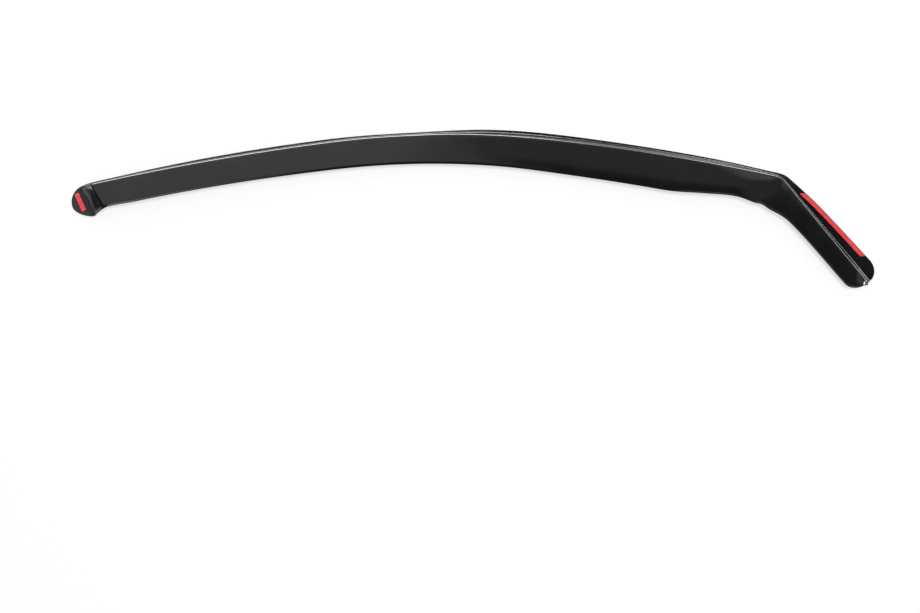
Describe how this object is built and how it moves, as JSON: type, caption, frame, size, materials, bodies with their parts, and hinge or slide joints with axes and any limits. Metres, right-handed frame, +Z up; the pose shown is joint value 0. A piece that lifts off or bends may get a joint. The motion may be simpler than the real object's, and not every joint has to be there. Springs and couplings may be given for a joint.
{
  "type": "window rain deflector",
  "caption": "Smoked acrylic rain deflector for a front car window: stepped upper flange for the window channel, wide curved visor panel, round rear tab, pillar end, foam tape pads.",
  "frame": {"origin": "on the surface that the part lies on, under the middle of its bounding box", "axes": "+X along the part toward the tip that goes down the windscreen pillar, +Y toward the flange that goes up into the window channel, +Z up, away from the door"},
  "size_m": [0.9714, 0.1934, 0.0239],
  "materials": {
    "smoked_acrylic": "gloss",
    "foam_tape": "matt",
    "release_film": "semi-gloss"
  },
  "bodies": {
    "root": {"deflector": "smoked_acrylic", "rear_tape": "foam_tape", "rear_liner": "release_film", "front_tape": "foam_tape", "front_liner": "release_film"}
  },
  "joints": []
}
